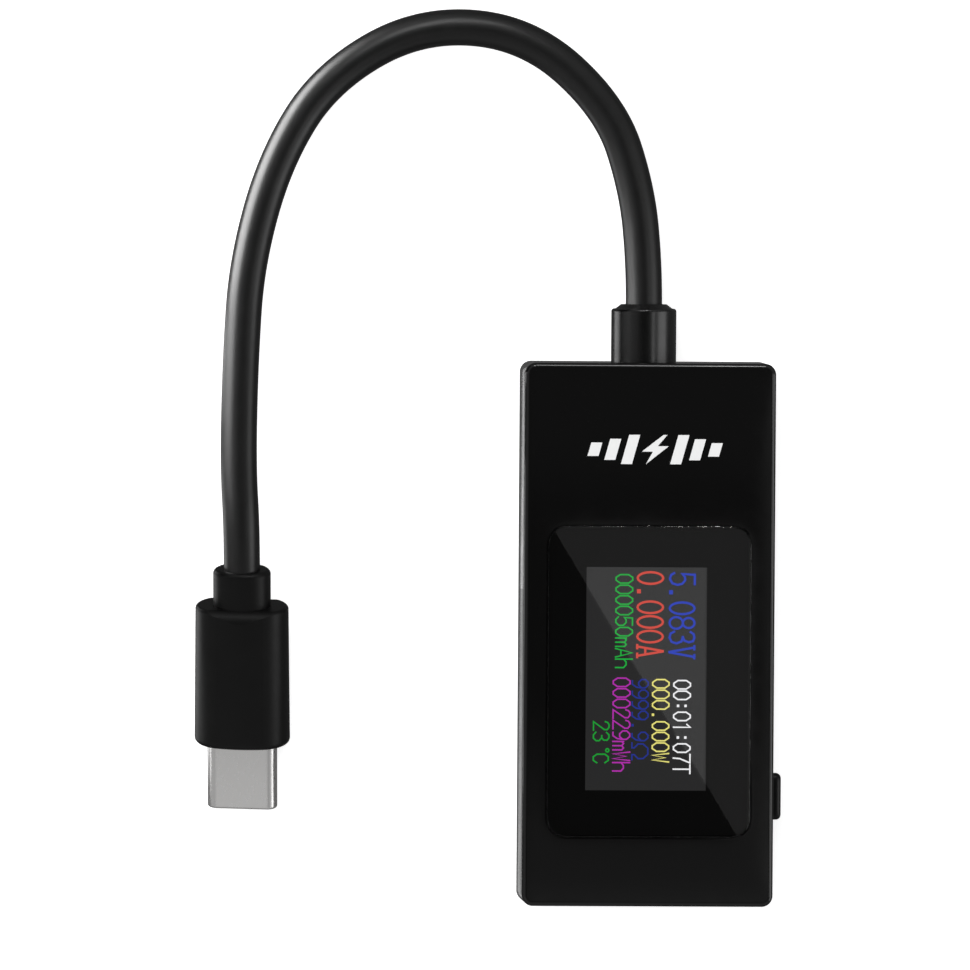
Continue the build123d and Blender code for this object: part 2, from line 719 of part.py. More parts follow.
def stadium(width, thickness, z0, z1):
    """Bar along the plug's axis with a stadium section."""
    return extrude(Pos(0, 0, z0) * SlotOverall(width, thickness), z1 - z0)


def box_z(width, thickness, z0, z1, radius):
    return extrude(Pos(0, 0, z0) * RectangleRounded(width, thickness, radius), z1 - z0)


def plug_shoulder_waste():
    """What the rounded shoulder takes off the body's upper broad face at its rear end."""
    half = BODY_T / 2
    radius = (SHOULDER_L**2 + SHOULDER_DROP**2) / (2 * SHOULDER_DROP)
    crest_z = NECK_L + SHOULDER_L
    waste = slab(-BODY_W, BODY_W, half - radius, half + 1, NECK_L - 1, crest_z)
    return waste - Pos(0, half - radius, crest_z) * Rot(0, 90, 0) * Cylinder(radius, 3 * BODY_W)


def plug_body_blank():
    body = extrude(Pos(0, 0, NECK_L) * oval(BODY_W, BODY_T, BODY_CROWN_R), BODY_L, taper=-BODY_TAPER)
    body = fillet(body.edges().group_by(Axis.Z)[-1], 0.7)
    body -= plug_shoulder_waste() + Rot(0, 0, 180) * plug_shoulder_waste()
    body = fillet(body.edges().group_by(Axis.Z)[0], SHOULDER_EDGE_R)
    neck = extrude(oval(NECK_W, NECK_T, NECK_CROWN_R), NECK_L + 1.5)
    neck = fillet(neck.edges().group_by(Axis.Z)[0], 0.6)
    return body + neck


def plug_mould_blank():
    return box_z(INNER_MOULD_W, INNER_MOULD_T, mould_z0, mould_z1, 1.2)


def plug_shell_blank():
    return stadium(SHELL_W, SHELL_T, shell_back, shell_tip)


def make_plug_overmold():
    return plug_body_blank() - plug_mould_blank() - plug_shell_blank()


def make_plug_board():
    return box_z(PADDLE_W, PADDLE_T, paddle_z0, insulator_z0, 0.3)


def make_plug_inner_mold():
    return plug_mould_blank() - make_plug_board() - plug_shell_blank()


def make_plug_shell():
    shell = fillet(plug_shell_blank().edges().group_by(Axis.Z)[-1], 0.3)
    shell -= stadium(shell_inner_w, shell_inner_t, shell_back - 1, shell_tip - SHELL_LIP)
    return shell - stadium(shell_inner_w - 0.5, shell_inner_t - 0.3, shell_tip - 1, shell_tip + 1)


def make_plug_insulator():
    body = stadium(shell_inner_w, shell_inner_t, insulator_z0, shell_tip - SHELL_LIP)
    body -= box_z(6.85, 1.0, shell_tip - 6.0, shell_tip + 1, 0.2)
    for x in (-3.55, 3.55):
        body -= Pos(x, 0, 0) * box_z(0.3, 0.9, shell_tip - 5.5, shell_tip - 1.6, 0.05)
    return body


def make_plug_contacts():
    contacts = Part()
    z0 = shell_tip - 5.2
    for x in rows(CONTACTS_PER_ROW, CONTACT_PITCH):
        for y in (0.45, -0.45):
            contacts += Pos(x, y, 0) * slab(-0.12, 0.12, -0.05, 0.05, z0, z0 + 3.9)
    return contacts


def make_plug_latch_springs():
    latches = Part()
    for x in (-3.5, 3.5):
        latches += Pos(x, 0, 0) * slab(-0.09, 0.09, -0.4, 0.4, shell_tip - 5.4, shell_tip - 1.7)
    return latches


# ---- build and write every node ----
cord, cord_path = wire_tube(CORD_ROUTE, cord_radii(), CORD_D)

nodes = {
    "front_shell": make_front_shell(),
    "back_shell": make_back_shell(),
    "display_window": make_display_window(),
    "window_adhesive": make_window_adhesive(),
    "display_gasket": make_display_gasket(),
    "lcd_top_glass": make_lcd_top_glass(),
    "lcd_bottom_glass": make_lcd_bottom_glass(),
    "lcd_driver_chip": make_lcd_driver_chip(),
    "lcd_backlight": make_lcd_backlight(),
    "lcd_tape": make_lcd_tape(),
    "lcd_flex": make_lcd_flex(),
    "main_board": make_main_board(),
    "controller_chip": make_controller_chip(),
    "controller_leads": make_controller_leads(),
    "memory_chip": make_memory_chip(),
    "memory_leads": make_memory_leads(),
    "voltage_regulator": make_voltage_regulator(),
    "regulator_leads": make_regulator_leads(),
    "shunt_resistor": make_shunt_resistor(),
    "ceramic_capacitors": make_ceramic_capacitors(),
    "bulk_capacitors": make_bulk_capacitors(),
    "chip_resistors": make_chip_resistors(),
    "chip_terminals": make_chip_terminals(),
    "output_socket_shell": make_output_socket_shell(),
    "output_socket_insulator": make_output_socket_insulator(),
    "output_socket_contacts": make_output_socket_contacts(),
    "side_button": make_side_button(),
    "switch_base": make_switch_base(),
    "switch_cover": make_switch_cover(),
    "switch_plunger": make_switch_plunger(),
    "switch_dome": make_switch_dome(),
    "switch_terminals": make_switch_terminals(),
    "strain_relief": make_strain_relief(),
    "solder_joints": make_solder_joints(),
    "cable_jacket": cord,
}
for wire_name, wire_sizes in WIRES.items():
    nodes[wire_name] = make_inner_wire(*wire_sizes)

plug_parts = {
    "plug_overmold": make_plug_overmold(),
    "plug_inner_mold": make_plug_inner_mold(),
    "plug_shell": make_plug_shell(),
    "plug_insulator": make_plug_insulator(),
    "plug_contacts": make_plug_contacts(),
    "plug_latch_springs": make_plug_latch_springs(),
    "plug_board": make_plug_board(),
}
for plug_name, plug_solid in plug_parts.items():
    nodes[plug_name] = plug_place() * plug_solid

os.makedirs("parts", exist_ok=True)
for name, solid in nodes.items():
    export_step(solid, f"parts/{name}.step")

section_area = pi * CORD_D**2 / 4
plug_low = min(nodes[name].bounding_box().min.Z for name in plug_parts)
print("lead length", round(cord_path.length, 2))
print("lead volume over section times length", round(cord.volume / section_area / cord_path.length, 4))
print("lead radii", [round(r, 1) for r in cord_radii()])
print("lowest point of the plug", round(plug_low, 3))
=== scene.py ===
"""USB power meter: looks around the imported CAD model.

Lengths are in metres, except where a name or the comment above them says millimetres.
"""

import json
from math import ceil, cos, pi, radians, sin

import bmesh
import bpy
from mathutils import Matrix, Vector


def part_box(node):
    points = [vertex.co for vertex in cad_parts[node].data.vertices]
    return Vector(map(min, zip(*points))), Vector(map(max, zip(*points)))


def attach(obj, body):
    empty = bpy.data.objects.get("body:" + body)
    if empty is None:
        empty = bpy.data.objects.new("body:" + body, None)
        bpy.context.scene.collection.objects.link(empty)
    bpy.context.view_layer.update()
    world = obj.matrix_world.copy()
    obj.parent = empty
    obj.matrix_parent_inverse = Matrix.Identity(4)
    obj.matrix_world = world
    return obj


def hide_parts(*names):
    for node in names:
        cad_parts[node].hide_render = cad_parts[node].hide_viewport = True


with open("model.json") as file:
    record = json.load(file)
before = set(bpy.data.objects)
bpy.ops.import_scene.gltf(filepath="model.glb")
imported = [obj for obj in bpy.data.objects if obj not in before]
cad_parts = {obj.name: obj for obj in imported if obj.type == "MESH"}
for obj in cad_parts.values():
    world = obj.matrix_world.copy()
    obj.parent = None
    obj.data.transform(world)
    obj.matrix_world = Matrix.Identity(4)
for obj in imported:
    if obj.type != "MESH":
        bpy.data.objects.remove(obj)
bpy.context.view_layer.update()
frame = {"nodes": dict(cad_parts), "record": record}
nodes = frame["nodes"]
MM = 0.001
HOUSING_BODY = "housing"


# ---------------------------------------------------------------- camera
CAMERA_TARGET = Vector((-19.105, 17.385, 6.0)) * MM
CAMERA_DISTANCE = 2010.5 * MM
CAMERA_YAW = radians(2.933)
CAMERA_PITCH = radians(1.444)
CAMERA_ROLL = radians(0.388)
CAMERA_LENS_MM = 632.1


def make_camera():
    """Looks down on the meter, a little from the lead's end and the plug's side."""
    across = -sin(CAMERA_YAW)
    along = sin(CAMERA_PITCH)
    back = Vector((across, along, (1 - across**2 - along**2) ** 0.5))
    right = Vector((0, 1, 0)).cross(back).normalized()
    up = back.cross(right)
    tilt = Matrix.Rotation(CAMERA_ROLL, 3, back)
    camera = bpy.data.objects.new("camera", bpy.data.cameras.new("camera"))
    camera.data.lens = CAMERA_LENS_MM
    camera.data.clip_start = 10 * MM
    camera.data.clip_end = 10.0
    axes = Matrix((tilt @ right, tilt @ up, back)).transposed().to_4x4()
    place = Matrix.Translation(CAMERA_TARGET + back * CAMERA_DISTANCE)
    camera.matrix_world = place @ axes
    bpy.context.scene.collection.objects.link(camera)
    bpy.context.scene.camera = camera
    return camera


camera = make_camera()
bpy.context.view_layer.update()


# ---------------------------------------------------------------- material kit
class Surface:
    """A Principled material with short ways to add procedural detail. Texture sizes are in millimetres."""

    def __init__(self, name, color, roughness, **sockets):
        self.material = bpy.data.materials.new(name)
        self.material.use_nodes = True
        self.tree = self.material.node_tree
        self.shader = self.tree.nodes["Principled BSDF"]
        self.set("Base Color", (*color, 1.0))
        self.set("Roughness", roughness)
        for key, value in sockets.items():
            self.set(key.replace("_", " "), value)
        self.place = self.node("ShaderNodeTexCoord").outputs["Object"]

    def set(self, socket, value):
        self.shader.inputs[socket].default_value = value

    def node(self, kind, **values):
        made = self.tree.nodes.new(kind)
        for key, value in values.items():
            if hasattr(made, key):
                setattr(made, key, value)
            else:
                made.inputs[key.replace("_", " ")].default_value = value
        return made

    def link(self, source, target):
        self.tree.links.new(source, target)

    def noise(self, size, detail, stretch=(1, 1, 1)):
        """Noise whose features are about size millimetres across."""
        mapping = self.node("ShaderNodeMapping", Scale=tuple(s / (size * MM) for s in stretch))
        self.link(self.place, mapping.inputs["Vector"])
        noise = self.node("ShaderNodeTexNoise", Scale=1.0, Detail=detail, Roughness=0.55)
        self.link(mapping.outputs["Vector"], noise.inputs["Vector"])
        return noise.outputs["Fac"]

    def ranged(self, value, low, high):
        """Noise, which stays mostly within 0.3..0.7, stretched to low..high."""
        node = self.node("ShaderNodeMapRange", From_Min=0.3, From_Max=0.7, To_Min=low, To_Max=high)
        self.link(value, node.inputs["Value"])
        return node.outputs["Result"]

    def vary_roughness(self, low, high, size, stretch=(1, 1, 1)):
        value = self.ranged(self.noise(size, 3.0, stretch), low, high)
        self.link(value, self.shader.inputs["Roughness"])

    def vary_color(self, dark, light, size):
        ramp = self.node("ShaderNodeValToRGB")
        ramp.color_ramp.elements[0].color = (*dark, 1.0)
        ramp.color_ramp.elements[1].color = (*light, 1.0)
        self.link(self.ranged(self.noise(size, 3.0), 0.0, 1.0), ramp.inputs["Fac"])
        self.link(ramp.outputs["Color"], self.shader.inputs["Base Color"])

    def bump(self, size, height, stretch=(1, 1, 1)):
        """Relief of height millimetres."""
        bump = self.node("ShaderNodeBump", Strength=1.0, Distance=height * MM)
        self.link(self.noise(size, 2.0, stretch), bump.inputs["Height"])
        self.link(bump.outputs["Normal"], self.shader.inputs["Normal"])


def black_plastic(name, color, roughness, spread, gleam=0.5):
    """Moulded black plastic, polished or satin, with a faint orange peel."""
    surface = Surface(name, (color,) * 3, roughness, IOR=1.5, Specular_IOR_Level=gleam)
    surface.vary_roughness(roughness - spread, roughness + spread, 3.0)
    surface.bump(2.2, 0.0012)
    return surface


def soft_black(name, color, roughness, grain, height, gleam=0.5):
    """Black PVC or rubber with a fine matte grain."""
    surface = Surface(name, (color,) * 3, roughness, Specular_IOR_Level=gleam)
    surface.vary_color((color * 0.85,) * 3, (color * 1.2,) * 3, 4.0)
    surface.vary_roughness(roughness - 0.02, roughness + 0.02, 1.5)
    surface.bump(grain, height)
    return surface


def plated(name, color, roughness, stretch=(1, 1, 1)):
    """Bare or plated metal. Stretch draws its texture out along the axis with the smallest number."""
    surface = Surface(name, color, roughness, Metallic=1.0)
    surface.vary_roughness(roughness - 0.01, roughness + 0.02, 1.2, stretch)
    surface.bump(0.3, 0.00002, stretch=stretch)
    return surface


def plain(name, color, roughness, grain=0.4, height=0.004):
    """Small inner part: its colour varies a little, with a fine grain."""
    surface = Surface(name, color, roughness)
    surface.vary_color([c * 0.85 for c in color], [min(1.0, c * 1.12) for c in color], 1.2)
    surface.bump(grain, height)
    return surface


def glow(name, color, strength):
    """Black surface that gives light."""
    surface = Surface(name, (0.0, 0.0, 0.0), 0.6, Specular_IOR_Level=0.0)
    surface.set("Emission Color", (*color, 1.0))
    surface.set("Emission Strength", strength)
    return surface


HOUSING = black_plastic("housing_gloss", 0.0035, 0.09, 0.02)
BUTTON = black_plastic("button_plastic", 0.003, 0.30, 0.03, 0.25)
WINDOW = Surface("smoked_window", (0.0, 0.0, 0.0), 0.02, Alpha=0.42, Specular_IOR_Level=0.9)
CABLE = soft_black("cable_rubber", 0.0025, 0.37, 0.09, 0.0006, 0.5)
RELIEF = soft_black("strain_relief_rubber", 0.0022, 0.25, 0.12, 0.0008, 0.65)
OVERMOLD = soft_black("plug_rubber", 0.0025, 0.42, 0.10, 0.004, 0.25)
NICKEL = plated("plug_nickel", (0.90, 0.89, 0.88), 0.28, (6, 1, 6))
STEEL = plated("socket_steel", (0.60, 0.60, 0.60), 0.28)
GOLD = plated("gold_contacts", (0.86, 0.64, 0.28), 0.22)
TIN = plated("tinned_metal", (0.72, 0.72, 0.73), 0.30)

SLOT_SURFACES = {
    "housing_gloss": HOUSING,
    "smoked_window": WINDOW,
    "button_plastic": BUTTON,
    "cable_rubber": CABLE,
    "strain_relief_rubber": RELIEF,
    "plug_rubber": OVERMOLD,
    "plug_nickel": NICKEL,
    "socket_steel": STEEL,
    "gold_contacts": GOLD,
    "tinned_metal": TIN,
    "adhesive": plain("adhesive", (0.02, 0.02, 0.02), 0.7),
    "gasket_foam": plain("gasket_foam", (0.02, 0.02, 0.02), 0.9, 0.25, 0.03),
    "lcd_glass": Surface("lcd_glass", (0.004, 0.004, 0.005), 0.1),
    "backlight": plain("backlight", (0.7, 0.7, 0.72), 0.5),
    "flex_film": plain("flex_film", (0.36, 0.17, 0.03), 0.35),
    "circuit_board": plain("circuit_board", (0.006, 0.045, 0.10), 0.4),
    "chip_plastic": plain("chip_plastic", (0.02, 0.02, 0.02), 0.6),
    "ceramic": plain("ceramic", (0.35, 0.24, 0.14), 0.6),
    "connector_plastic": plain("connector_plastic", (0.010, 0.010, 0.011), 0.45),
    "switch_plastic": plain("switch_plastic", (0.03, 0.03, 0.03), 0.5),
    "inner_mold": plain("inner_mold", (0.55, 0.55, 0.52), 0.5),
    "red_wire": plain("red_wire", (0.50, 0.015, 0.012), 0.4),
    "black_wire": plain("black_wire", (0.012, 0.012, 0.012), 0.4),
    "green_wire": plain("green_wire", (0.015, 0.28, 0.04), 0.4),
    "white_wire": plain("white_wire", (0.72, 0.72, 0.70), 0.4),
    "blue_wire": plain("blue_wire", (0.015, 0.06, 0.42), 0.4),
}


def paint(obj, surface):
    """Gives an object one surface and no other."""
    obj.data.materials.clear()
    obj.data.materials.append(surface.material)


def paint_cad_nodes():
    """Paints each CAD node by the material slot that the record gives it."""
    for part in frame["record"]["subparts"]:
        paint(nodes[part["node"]], SLOT_SURFACES[part["material_slot"]])


paint_cad_nodes()


def add_piece(name, data, surface):
    """New piece made of a mesh or curve, painted and riding on the housing."""
    obj = bpy.data.objects.new(name, data)
    bpy.context.scene.collection.objects.link(obj)
    paint(obj, surface)
    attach(obj, HOUSING_BODY)
    return obj


# ---------------------------------------------------------------- lead
CORD_ROUTE_MM = [
    (-0.5, 38.85, 6.6),
    (-0.5, 43.4, 6.6),
    (-1.4, 52.4, 6.6),
    (-4.6, 62.0, 6.8),
    (-14.4, 70.8, 7.0),
    (-27.2, 71.8, 7.4),
    (-38.3, 65.3, 7.9),
    (-44.2, 55.7, 8.4),
    (-47.5, 43.6, 9.0),
    (-48.2, 32.4, 9.6),
    (-48.45, 19.9, 10.45),
    (-47.97, 12.19, 10.74),
    (-47.88, 7.47, 9.43),
]
CORD_DIAMETER = 4.3 * MM


def make_lead():
    """One smooth line along the route, from the strain relief to the plug's neck."""
    curve = bpy.data.curves.new("lead", "CURVE")
    curve.dimensions = "3D"
    spline = curve.splines.new("NURBS")
    spline.points.add(len(CORD_ROUTE_MM) - 1)
    for point, place in zip(spline.points, CORD_ROUTE_MM):
        point.co = (*(Vector(place) * MM), 1.0)
    spline.order_u = 3
    spline.use_endpoint_u = True
    spline.resolution_u = 20
    spline.use_smooth = True
    curve.bevel_depth = CORD_DIAMETER / 2
    curve.bevel_resolution = 10
    curve.use_fill_caps = True
    lead = add_piece("lead", curve, CABLE)
    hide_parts("cable_jacket")
    return lead


lead = make_lead()


# ---------------------------------------------------------------- flat printed shapes
def add_prism(bm, outline, z0, z1):
    """Closed prism over a counter-clockwise or clockwise outline of (x, y) points."""
    low = [bm.verts.new((x, y, z0)) for x, y in outline]
    high = [bm.verts.new((x, y, z1)) for x, y in outline]
    bm.faces.new(reversed(low))
    bm.faces.new(high)
    count = len(outline)
    for i in range(count):
        j = (i + 1) % count
        bm.faces.new((low[i], low[j], high[j], high[i]))


def add_stroke(bm, points, half, z0, z1, closed):
    """Band of width 2 * half with mitred corners along points, as a closed solid."""
    points = [Vector(p) for p in points]
    count = len(points)
    ring = []
    for i, here in enumerate(points):
        into = (here - points[i - 1]).normalized() if closed or i else None
        out = (points[(i + 1) % count] - here).normalized() if closed or i < count - 1 else None
        into = into or out
        out = out or into
        along = (into + out).normalized()
        side = Vector((-along.y, along.x))
        reach = half / max(0.5, along.dot(into))
        shift = Vector((0, 0))
        if not closed and i == 0:
            shift = -along * half
        if not closed and i == count - 1:
            shift = along * half
        left = here + side * reach + shift
        right = here - side * reach + shift
        ring.append([bm.verts.new((*p, z)) for z in (z0, z1) for p in (left, right)])
    spans = range(count) if closed else range(count - 1)
    for i in spans:
        a = ring[i]
        b = ring[(i + 1) % count]
        bm.faces.new((a[2], a[3], b[3], b[2]))
        bm.faces.new((a[0], b[0], b[1], a[1]))
        bm.faces.new((a[0], a[2], b[2], b[0]))
        bm.faces.new((a[1], b[1], b[3], a[3]))
    if not closed:
        for end in (ring[0], ring[-1]):
            bm.faces.new((end[0], end[1], end[3], end[2]))


def mesh_from(bm, name):
    """Mesh of a bmesh, with its faces turned outwards."""
    bmesh.ops.recalc_face_normals(bm, faces=bm.faces)
    mesh = bpy.data.meshes.new(name)
    bm.to_mesh(mesh)
    bm.free()
    return mesh


# ---------------------------------------------------------------- display
# Glyphs are drawn on a grid 6 wide and 12 high, as strokes: (closed, points).
GRID_W, GRID_H = 6, 12
CUT_CORNER_ZERO = [(True, [(2, 0), (4, 0), (6, 3), (6, 9), (4, 12), (2, 12), (0, 9), (0, 3)])]


def oval_stroke(width, height, x=0.0, y=0.0, steps=20):
    """Oval loop whose box has its lower left corner at (x, y)."""
    centre = Vector((x + width / 2, y + height / 2))
    turn = [2 * pi * i / steps for i in range(steps)]
    return (True, [(centre.x + width / 2 * cos(t), centre.y + height / 2 * sin(t)) for t in turn])


SMALL_GLYPHS = {
    "0": CUT_CORNER_ZERO,
    "1": [(False, [(1.2, 9.6), (3.2, 12), (3.2, 0)])],
    "2": [(False, [(0, 9.2), (0.6, 11), (2, 12), (4, 12), (5.6, 10.6), (5.6, 8.4), (0, 0), (6, 0)])],
    "3": [
        (False, [(0.2, 10.2), (1.8, 12), (4, 12), (5.6, 10.6), (5.6, 8), (4, 6.4), (2.4, 6.4)]),
        (False, [(4, 6.4), (6, 4.4), (6, 2), (4.2, 0), (1.8, 0), (0, 1.8)]),
    ],
    "5": [
        (False, [(5.8, 12), (0.8, 12), (0.4, 6.2), (2, 7.4), (4, 7.4), (6, 5.4), (6, 2.2), (4, 0),
                 (1.8, 0), (0, 1.8)]),
    ],
    "7": [(False, [(0, 12), (6, 12), (3, 4.6), (2.6, 0)])],
    "9": [
        (True, [(2, 4.8), (4, 4.8), (6, 7), (6, 9.6), (4, 12), (2, 12), (0, 9.8), (0, 7)]),
        (False, [(6, 7), (5.4, 3), (3.4, 0), (1, 0)]),
    ],
    "m": [
        (False, [(0, 0), (0, 7.6)]),
        (False, [(0, 6.4), (1.4, 7.6), (3, 6.4), (3, 0)]),
        (False, [(3, 6.4), (4.6, 7.6), (6, 6.4), (6, 0)]),
    ],
    "h": [(False, [(0, 12), (0, 0)]), (False, [(0, 5.8), (2, 7.6), (4, 7.6), (6, 5.8), (6, 0)])],
    "A": [(False, [(0, 0), (3, 12), (6, 0)]), (False, [(1.1, 3.8), (4.9, 3.8)])],
    "W": [(False, [(0, 12), (1.3, 0), (3, 9.6), (4.7, 0), (6, 12)])],
    "T": [(False, [(3, 0), (3, 12)]), (False, [(0, 12), (6, 12)])],
    ".": [(True, [(2.1, 0), (2.9, 0), (2.9, 0.7), (2.1, 0.7)])],
    ":": [(True, [(2.6, y), (3.4, y), (3.4, y + 0.7), (2.6, y + 0.7)]) for y in (2.8, 8.2)],
    "ohm": [
        (False, [(0, 0), (3.6, 0), (3.6, 1.8), (0.8, 4.6), (0.8, 8.4), (3.8, 12), (8.2, 12), (11.2, 8.4),
                 (11.2, 4.6), (8.4, 1.8), (8.4, 0), (12, 0)]),
    ],
    "degree_c": [
        oval_stroke(2.4, 2.4, -3.4, 9.6, 10),
        (False, [(6.6, 9), (5.0, 11.6), (2.4, 11.6), (0.6, 9), (0.6, 2.8), (2.4, 0), (5.0, 0), (6.6, 2.6)]),
    ],
}
BIG_GLYPHS = {
    "0": [oval_stroke(GRID_W, GRID_H)],
    "3": [
        (False, [(0.2, 10.2), (1.2, 11.6), (3, 12), (4.8, 11.4), (5.4, 9.4), (4.6, 7.2), (2.8, 6.4)]),
        (False, [(2.8, 6.4), (5, 5.8), (6, 3.4), (5.2, 1), (3, 0), (1, 0.5), (0, 2.2)]),
    ],
    "5": [
        (False, [(5.6, 12), (0.8, 12), (0.4, 6), (1.8, 7.2), (3.6, 7.4), (5.4, 6), (6, 3.8), (5.2, 1.2),
                 (3, 0), (1, 0.5), (0, 2)]),
    ],
    "8": [oval_stroke(5.2, 5.6, 0.4, 6.4), oval_stroke(6.0, 6.4)],
    "A": [
        (False, [(0.6, 0), (2.9, 12), (3.1, 12), (5.4, 0)]),
        (False, [(1.4, 3.8), (4.6, 3.8)]),
        (False, [(-0.1, 0), (1.5, 0)]),
        (False, [(4.3, 0), (6.1, 0)]),
    ],
    "V": [
        (False, [(0.6, 12), (2.9, 0), (3.1, 0), (5.4, 12)]),
        (False, [(-0.1, 12), (1.5, 12)]),
        (False, [(4.5, 12), (6.1, 12)]),
    ],
    ".": [(True, [(1.8, 0.2), (2.8, 0.2), (2.8, 1.0), (1.8, 1.0)])],
}

# All lengths from here to the stage are in millimetres.
# The lit area seen through the mask: its centre and size.
LIT_X, LIT_Y = -0.27, -5.19
LIT_W, LIT_L = 14.22, 26.3
LIT_MARGIN = 0.4
# Each size of print: its glyphs, the distance from one to the next and half a stroke's width.
SMALL_PRINT = (SMALL_GLYPHS, 1.245, 0.085)
BIG_PRINT = (BIG_GLYPHS, 1.725, 0.13)
# A glyph's width as a share of that distance, and its shift along the line in grid units.
GLYPH_SHARE = 0.80
GLYPH_SHIFT = 0.7
# Each reading runs down the display: name, glyphs, print, start from the lit area's upper end, distance
# of its capitals' top and foot from the right edge, and its colour.
READINGS = [
    ("voltage", "5.083V", BIG_PRINT, 0.55, 1.25, 4.45, (0.024, 0.052, 0.46)),
    ("current", "0.000A", BIG_PRINT, 0.45, 4.98, 8.25, (0.62, 0.070, 0.050)),
    ("charge", "000050mAh", SMALL_PRINT, 0.80, 8.62, 10.75, (0.014, 0.40, 0.050)),
    ("clock", "00:01:07T", SMALL_PRINT, 13.25, 1.72, 3.85, (0.90, 0.90, 0.92)),
    ("power", "000.000W", SMALL_PRINT, 13.15, 4.25, 6.35, (0.80, 0.74, 0.20)),
    ("resistance", [*"9999.9", "ohm"], SMALL_PRINT, 13.15, 6.70, 8.75, (0.020, 0.034, 0.26)),
    ("energy", "000229mWh", SMALL_PRINT, 13.0, 8.85, 11.0, (0.43, 0.030, 0.40)),
    ("temperature", [*"23 ", "degree_c"], SMALL_PRINT, 18.15, 11.3, 13.3, (0.012, 0.33, 0.035)),
]
PRINT_H = 0.012
# Strength of the display's light, which the smoked window then dims.
DISPLAY_GLOW = 2.941
# The mask is printed inside the pane: its distance from the pane's sides, and the heights of its
# underside and top above the pane's underside.
MASK_INSET = 0.3
MASK_LOW, MASK_HIGH = 0.005, 0.02
# The lit panel's underside and top, above the display's top glass.
PANEL_LOW, PANEL_HIGH = 0.005, 0.03


def lit_outline(margin_mm):
    """Corners of the lit area grown by a margin, counter-clockwise from the lower left."""
    half_w, half_l = LIT_W / 2 + margin_mm, LIT_L / 2 + margin_mm
    signs = [(-1, -1), (1, -1), (1, 1), (-1, 1)]
    return [((LIT_X + sx * half_w) * MM, (LIT_Y + sy * half_l) * MM) for sx, sy in signs]


def make_window_mask():
    """Black print in the window's underside with a clear opening over the lit area."""
    low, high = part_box("display_window")
    inset = MASK_INSET * MM
    z0, z1 = low.z + MASK_LOW * MM, low.z + MASK_HIGH * MM
    outer = [
        (low.x + inset, low.y + inset),
        (high.x - inset, low.y + inset),
        (high.x - inset, high.y - inset),
        (low.x + inset, high.y - inset),
    ]
    inner = lit_outline(0.0)
    bm = bmesh.new()
    for i in range(4):
        j = (i + 1) % 4
        add_prism(bm, [outer[i], outer[j], inner[j], inner[i]], z0, z1)
    ink = Surface("mask_ink", (0.0045, 0.0045, 0.0045), 0.6, Specular_IOR_Level=0.1)
    add_piece("window_mask", mesh_from(bm, "window_mask"), ink)


make_window_mask()


def make_lit_panel(glass_z, panel_z):
    """The lit panel, from just above the display's top glass to panel_z."""
    bm = bmesh.new()
    add_prism(bm, lit_outline(LIT_MARGIN), glass_z + PANEL_LOW * MM, panel_z)
    lit = glow("lit_panel", (0.0212, 0.0212, 0.0215), DISPLAY_GLOW)
    lit.set("Roughness", 0.03)
    lit.set("IOR", 2.2)
    lit.set("Specular IOR Level", 1.0)
    add_piece("lit_panel", mesh_from(bm, "lit_panel"), lit)


def make_reading(name, text, lettering, start, top, foot, color, panel_z):
    """One reading: its strokes stand on the lit panel and give light of one colour."""
    glyphs, pitch, half = lettering
    right = LIT_X + LIT_W / 2
    upper = LIT_Y + LIT_L / 2
    wide = pitch * GLYPH_SHARE / GRID_W
    high = (foot - top - 2 * half) / GRID_H
    bm = bmesh.new()
    for i, key in enumerate(text):
        for closed, points in glyphs.get(key, []):
            placed = [
                (
                    (right - foot + y * high + half) * MM,
                    (upper - start - i * pitch - (x + GLYPH_SHIFT) * wide) * MM,
                )
                for x, y in points
            ]
            add_stroke(bm, placed, half * MM, panel_z, panel_z + PRINT_H * MM, closed)
    ink = glow("reading_" + name, color, DISPLAY_GLOW)
    add_piece("reading_" + name, mesh_from(bm, name), ink)


def make_display():
    """The lit panel and the readings on it, just above the display's top glass."""
    glass_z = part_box("lcd_top_glass")[1].z
    panel_z = glass_z + PANEL_HIGH * MM
    make_lit_panel(glass_z, panel_z)
    for reading in READINGS:
        make_reading(*reading, panel_z)


make_display()


# ---------------------------------------------------------------- mark on the front
MARK_X, MARK_Y = 0.55, 21.85
MARK_H = 3.45
MARK_SLANT = 0.28
MARK_INK = 0.015
MARK_SUNK = 0.004
BAR_W = 1.3
BAR_FIRST, BAR_PITCH = 2.9, 2.1
BAR_HEIGHT_SHARES = (1.0, 0.72, 0.46)


def make_front_mark():
    """Plain power symbol: a lightning bolt between slanted bars that shorten outwards."""
    front_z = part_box("front_shell")[1].z
    z0, z1 = front_z - MARK_SUNK * MM, front_z + MARK_INK * MM
    half = MARK_H / 2
    bolt = [(0.5, half), (-1.5, -0.25), (-0.2, -0.25), (-0.6, -half), (1.5, 0.4), (0.2, 0.4), (0.95, half)]
    shapes = [bolt]
    for step, share in enumerate(BAR_HEIGHT_SHARES):
        reach = half * share
        for side in (-1, 1):
            centre = side * (BAR_FIRST + step * BAR_PITCH)
            left, right = centre - BAR_W / 2, centre + BAR_W / 2
            shapes.append([(left, -reach), (right, -reach), (right, reach), (left, reach)])
    bm = bmesh.new()
    for shape in shapes:
        add_prism(bm, [((MARK_X + x + MARK_SLANT * y) * MM, (MARK_Y + y) * MM) for x, y in shape], z0, z1)
    ink = Surface("white_ink", (0.95, 0.95, 0.95), 0.5)
    ink.bump(0.15, 0.002)
    add_piece("front_mark", mesh_from(bm, "front_mark"), ink)


make_front_mark()


# ---------------------------------------------------------------- stage and light
# Metres and watts.
FLOOR_SIZE = 3.0
FLOOR_Z = -0.00005
FLOOR_GLOW = 0.77
